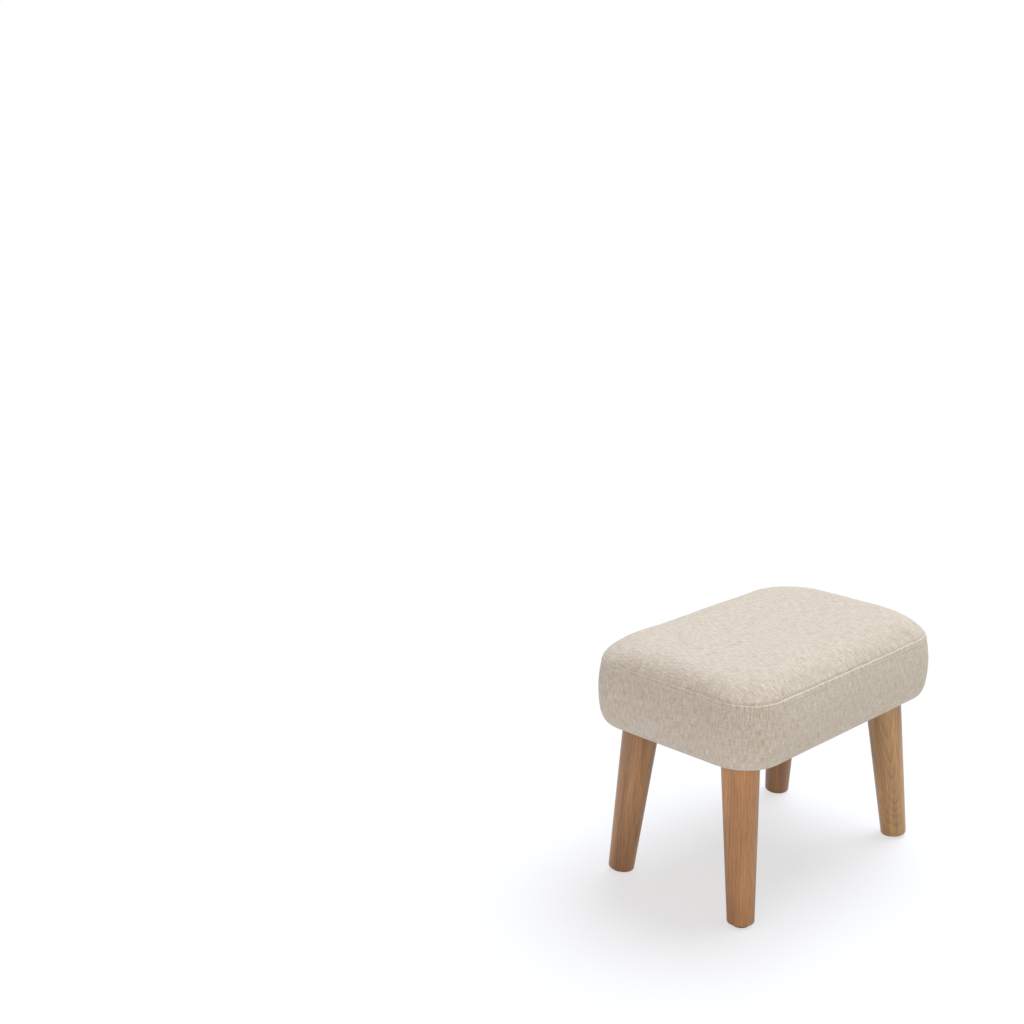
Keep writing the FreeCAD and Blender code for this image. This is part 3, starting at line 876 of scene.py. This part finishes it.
def leg_material(corner, pith, lean, figure, figure_size, top_painted_light, dark, light):
    """Stained wood with its grain along the leg in a corner. Its top is painted lighter by a share: painted
    light for the front light that the seat's shadow keeps off it.
    """
    painted_light_full_above, painted_light_none_below = 0.02, 0.10
    material, tree, shader = new_material("stained_wood_" + corner)
    top, foot = leg_ends(corner)
    turned = Vector(foot - top).to_track_quat("Z", "Y").to_euler()
    where = add_node(tree, "ShaderNodeTexCoord").outputs["Object"]
    leg_frame = add_node(tree, "ShaderNodeMapping", {
        "Vector": where, "Location": Vector(top), "Rotation": turned}, vector_type="TEXTURE").outputs[0]
    grain = add_node(tree, "ShaderNodeGroup", {
        "Vector": leg_frame, "Pith": pith, "Lean": lean, "Figure": figure, "Figure Size": figure_size,
    }, node_tree=grain_group)
    down_leg = add_node(tree, "ShaderNodeSeparateXYZ", {0: leg_frame}).outputs["Z"]
    # Painted light: the top of the leg is lightened by a share that fades out down the leg, for the front
    # light that the seat's shadow takes off it.
    top_light_lift = ranged(tree, down_leg, painted_light_full_above, painted_light_none_below, top_painted_light, 0.0)
    tone = reckon(tree, "ADD", grain.outputs["Tone"], top_light_lift)
    height = grain.outputs["Height"]
    set_inputs(tree, shader, {
        "Base Color": coloured(tree, tone, dark, light, 0.05, 0.95),
        "Roughness": ranged(tree, height, -0.3, 0.5, 0.52, 0.40),
        "Normal": bumped(tree, height, 0.25, 0.00012), "Coat Weight": 0.15, "Coat Roughness": 0.35})
    return material


def finish_node(name, material):
    """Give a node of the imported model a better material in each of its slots."""
    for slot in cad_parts[name].material_slots:
        slot.material = material


brown_dark, brown_light = (0.225, 0.086, 0.029), (0.69, 0.337, 0.132)
paler_dark, paler_light = (0.265, 0.130, 0.050), (0.78, 0.458, 0.206)
duller_dark, duller_light = (0.222, 0.095, 0.037), (0.61, 0.322, 0.143)
# Painted shade: the back right leg's colours are a darker copy of the same stained wood, for the shadow it
# stands in.
shaded_dark, shaded_light = (0.148, 0.061, 0.024), (0.475, 0.228, 0.094)
# Corner, pith line beside the leg, lean of the grain, point and size of its figure, how much painted light
# lightens its top, and colours. The lighter top is painted light against the seat's shadow, and the back
# right leg's darker colours are painted shade.
for corner, *wood in (
    ("front_left", (0.075, 0.020, 0), 0.0, (0, 0, 0.4), 0.0, 0.27, brown_dark, brown_light),
    ("front_right", (-0.070, 0.006, 0), 0.09, (-0.018, 0.004, 0.208), 0.007, 0.0, paler_dark, paler_light),
    ("back_left", (0.060, -0.050, 0), 0.02, (0, 0, 0.4), 0.0, 0.0, duller_dark, duller_light),
    ("back_right", (-0.080, -0.010, 0), 0.05, (0, 0, 0.4), 0.0, 0.0, shaded_dark, shaded_light),
):
    finish_node("leg_" + corner, leg_material(corner, *wood))


# Leg plates, hanger bolts and screws
# Pressed steel plates with a tilted boss and a threaded nut, zinc plated. The legs screw into them on
# hanger bolts, and four countersunk screws hold each plate to the board.
def worn_zinc():
    """Cloudy plating on a vector in metres: patches of tone, and fine scratches where parts rub. Puts out
    a tone from 0 to 1 and a height."""
    scratch_share = 0.35
    group, start, end = new_group("worn_zinc", {"Vector": "Vector"})
    place = start.outputs["Vector"]
    scratches = noise(group, place, (2200, 160, 900), 2.0)
    tone = shared(group, scratches, scratch_share, noise(group, place, (160, 160, 160), 4.0))
    set_inputs(group, end, {"Tone": tone, "Height": scratches})
    return group


zinc_group = worn_zinc()


def steel_material(name, dark, light, smoothest, roughest):
    """Plated steel with cloudy tone and roughness."""
    material, tree, shader = new_material(name)
    where = add_node(tree, "ShaderNodeTexCoord").outputs["Object"]
    plating = add_node(tree, "ShaderNodeGroup", {"Vector": where}, node_tree=zinc_group)
    tone = plating.outputs["Tone"]
    set_inputs(tree, shader, {
        "Base Color": coloured(tree, tone, dark, light, 0.3, 0.7), "Metallic": 1.0,
        "Roughness": ranged(tree, tone, 0.3, 0.7, roughest, smoothest),
        "Normal": bumped(tree, plating.outputs["Height"], 0.12, 0.00005)})
    return material


plate_steel = steel_material("zinc_plated_plate", (0.40, 0.41, 0.43), (0.62, 0.63, 0.65), 0.28, 0.46)
bolt_steel = steel_material("zinc_plated_bolt", (0.36, 0.36, 0.37), (0.56, 0.56, 0.57), 0.30, 0.50)
screw_steel = steel_material("yellow_zinc_screw", (0.42, 0.34, 0.20), (0.66, 0.56, 0.36), 0.26, 0.42)
wire_steel = steel_material("galvanised_wire", (0.44, 0.45, 0.46), (0.66, 0.67, 0.68), 0.25, 0.40)
for corner in corners:
    finish_node("leg_plate_" + corner, plate_steel)
    finish_node("hanger_bolt_" + corner, bolt_steel)
    finish_node("plate_screws_" + corner, screw_steel)
finish_node("cover_staples", wire_steel)
finish_node("dust_cover_staples", wire_steel)


# Base board
# Birch plywood, fifteen millimetres thick, its edges chamfered so that they don't cut the cloth. The
# plies show as level bands on its edges.
ply_thickness = 0.0015
ply_share = 0.25

ply_material, tree, shader = new_material("birch_plywood")
where = add_node(tree, "ShaderNodeTexCoord").outputs["Object"]
height = add_node(tree, "ShaderNodeSeparateXYZ", {0: where}).outputs["Z"]
ply_number = reckon(tree, "FLOOR", reckon(tree, "DIVIDE", height, ply_thickness))
ply = reckon(tree, "FLOORED_MODULO", ply_number, 2)
figure = noise(tree, where, (12, 260, 60), 4.0)
ply_tone = shared(tree, ply, ply_share, figure)
set_inputs(tree, shader, {
    "Base Color": coloured(tree, ply_tone, (0.36, 0.23, 0.12), (0.66, 0.50, 0.32)), "Roughness": 0.7,
    "Normal": bumped(tree, figure, 0.2, 0.0003)})
finish_node("base_board", ply_material)


# Felt pads
# A disc of pressed wool felt, glued square to each foot and pressed level where the stool stands on it.
pad_radius = 0.012
pad_thickness = 0.0025
pad_bulge = 0.0006
pad_edge_radius = 0.0004
pad_columns = 64
pad_rows = 12


def pad_points(corner):
    """Side of a pad from its top edge to its bottom edge: each point runs down the leg's line from the
    glued face to the floor, and the side bulges by a root of a sine."""
    top, foot = leg_ends(corner)
    down_leg = (foot - top) / np.linalg.norm(foot - top)
    level = np.cross(down_leg, [0, 0, 1])
    level /= np.linalg.norm(level)
    sideways = np.cross(down_leg, level)
    glued = foot - pad_thickness * down_leg
    turn = np.linspace(0, 2 * np.pi, pad_columns, endpoint=False)
    share = np.linspace(0, 1, pad_rows)
    reach = (pad_radius - pad_bulge + pad_bulge * np.sin(np.pi * share) ** 0.5)[:, None, None]
    ring = np.cos(turn)[:, None] * level + np.sin(turn)[:, None] * sideways
    on_foot = glued + reach * ring[None]
    return on_foot + share[:, None, None] * (on_foot[..., 2:] / -down_leg[2]) * down_leg


felt_material, tree, shader = new_material("wool_felt")
where = add_node(tree, "ShaderNodeTexCoord").outputs["Object"]
fuzz = noise(tree, where, (1500, 1500, 1500), 5.0, 0.7)
set_inputs(tree, shader, {
    "Base Color": coloured(tree, fuzz, (0.22, 0.140, 0.085), (0.42, 0.290, 0.190), 0.3, 0.7),
    "Roughness": 1.0, "Specular IOR Level": 0.1, "Normal": bumped(tree, fuzz, 0.8, 0.0004)})

pad_numbers = numbered(pad_rows, pad_columns)
pad_faces = quads(pad_numbers, True).tolist() + [pad_numbers[0].tolist(), pad_numbers[-1][::-1].tolist()]
for corner in corners:
    name = "felt_disc_" + corner
    pad = new_object(name, new_mesh(name, pad_points(corner), pad_faces), felt_material)
    edges = pad.modifiers.new("edges", "BEVEL")
    edges.width = pad_edge_radius
    edges.segments = 2
    edges.limit_method = "ANGLE"
    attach(pad, "root")
    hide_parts("felt_pad_" + corner)


# Dust cover
# A black non-woven sheet stapled round its edge to close the underside. It is drawn tight, and hangs a
# little between its staples and round the leg plates.
sheet_margin = 0.004
sheet_level = 0.2263
sheet_thickness = 0.0005
sheet_sag = 0.0009
sheet_wave = 0.0004
plate_reach = 0.036
slack_fade = 0.05
sheet_edge = seat_outlines(
    roll_inset + sheet_margin, corner_radius - side_corner_easing * roll_inset - sheet_margin)[0]
sheet_ring = np.concatenate([sheet_edge, np.full((columns, 1), sheet_level)], axis=1)[::2]
sheet_grid = grid_inside(sheet_ring)
sheet_x, sheet_y = np.abs(sheet_grid[..., 0]), np.abs(sheet_grid[..., 1])
from_plates = np.hypot(sheet_x - leg_top_place[0], sheet_y - leg_top_place[1])
to_edge = np.minimum(seat_length / 2 - roll_inset - sheet_x, seat_depth / 2 - roll_inset - sheet_y)
slack = np.clip((from_plates - plate_reach) / slack_fade, 0, 1) * np.clip(to_edge / slack_fade, 0, 1)
wave = np.sin(sheet_grid[..., 0] * 61 + 0.6) * np.cos(sheet_grid[..., 1] * 47 - 0.9)
sheet_grid[..., 2] -= slack * (sheet_sag + sheet_wave * wave)
sheet_faces = quads(numbered(*sheet_grid.shape[:2]))[:, ::-1]
sheet_weave = corner_values(sheet_grid[..., :2]).reshape(-1, 4, 2)[:, ::-1]

sheet_material, tree, shader = new_material("non_woven_cloth")
where = add_node(tree, "ShaderNodeUVMap", uv_map="weave").outputs[0]
tilted = add_node(tree, "ShaderNodeMapping", {"Vector": where, "Rotation": (0, 0, math.radians(45))})
pressed = add_node(tree, "ShaderNodeTexVoronoi", {
    "Vector": tilted.outputs[0], "Scale": 620.0, "Randomness": 0.05}, voronoi_dimensions="2D")
points_pressed = ranged(tree, pressed.outputs["Distance"], 0.18, 0.34)
strands = add_node(tree, "ShaderNodeTexNoise", {
    "Vector": where, "Scale": 900.0, "Detail": 4.0, "Distortion": 2.0}, noise_dimensions="2D")
sheet_tone = shared(tree, points_pressed, 0.5, strands.outputs["Fac"])
set_inputs(tree, shader, {
    "Base Color": coloured(tree, sheet_tone, (0.012, 0.012, 0.013), (0.060, 0.060, 0.064)),
    "Roughness": 0.85, "Sheen Weight": 0.1, "Normal": bumped(tree, sheet_tone, 0.6, 0.0002)})

sheet_mesh = cloth_mesh("underside_cloth", sheet_grid, sheet_faces.tolist(), sheet_weave)
underside = new_object("underside_cloth", sheet_mesh, sheet_material)
wall = underside.modifiers.new("thickness", "SOLIDIFY")
wall.thickness = sheet_thickness
wall.offset = 0
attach(underside, "root")
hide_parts("dust_cover")
